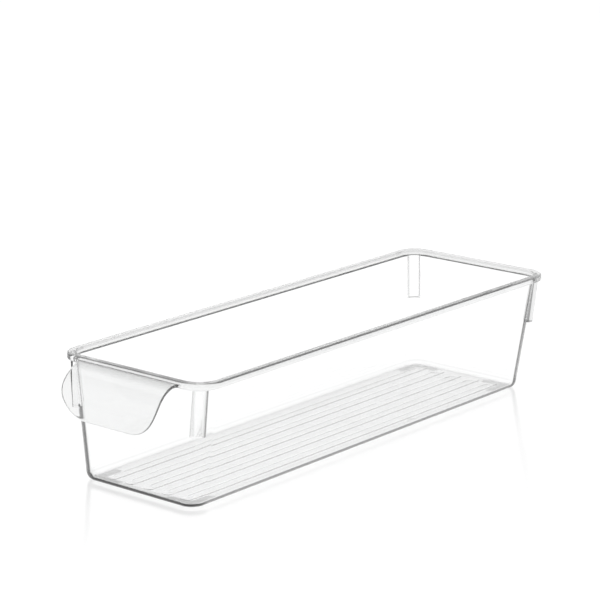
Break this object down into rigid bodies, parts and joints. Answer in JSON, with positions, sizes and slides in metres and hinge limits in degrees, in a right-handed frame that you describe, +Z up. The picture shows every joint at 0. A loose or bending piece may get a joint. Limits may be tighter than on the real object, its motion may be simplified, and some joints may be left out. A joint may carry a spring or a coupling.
{
  "type": "storage bin",
  "caption": "Long clear plastic pantry bin, open at the top, with tapered walls, a rounded rim, a pull handle rolled out of the front rim, stacking lugs and a ribbed floor.",
  "frame": {"origin": "on the table, under the middle of the whole bin's outline, handle included", "axes": "+Z up, +Y along the bin's length towards its back, so the pull handle faces -Y, and +X across its width"},
  "size_m": [0.102, 0.3204, 0.069],
  "materials": {
    "clear_plastic": "clear gloss"
  },
  "bodies": {
    "root": {"tub": "clear_plastic", "rim": "clear_plastic", "pull_handle": "clear_plastic", "lug_front_left": "clear_plastic", "lug_front_right": "clear_plastic", "lug_back_left": "clear_plastic", "lug_back_right": "clear_plastic", "foot_front_left": "clear_plastic", "foot_front_right": "clear_plastic", "foot_back_left": "clear_plastic", "foot_back_right": "clear_plastic", "floor_rib_1": "clear_plastic", "floor_rib_2": "clear_plastic", "floor_rib_3": "clear_plastic", "floor_rib_4": "clear_plastic", "floor_rib_5": "clear_plastic"}
  },
  "joints": []
}
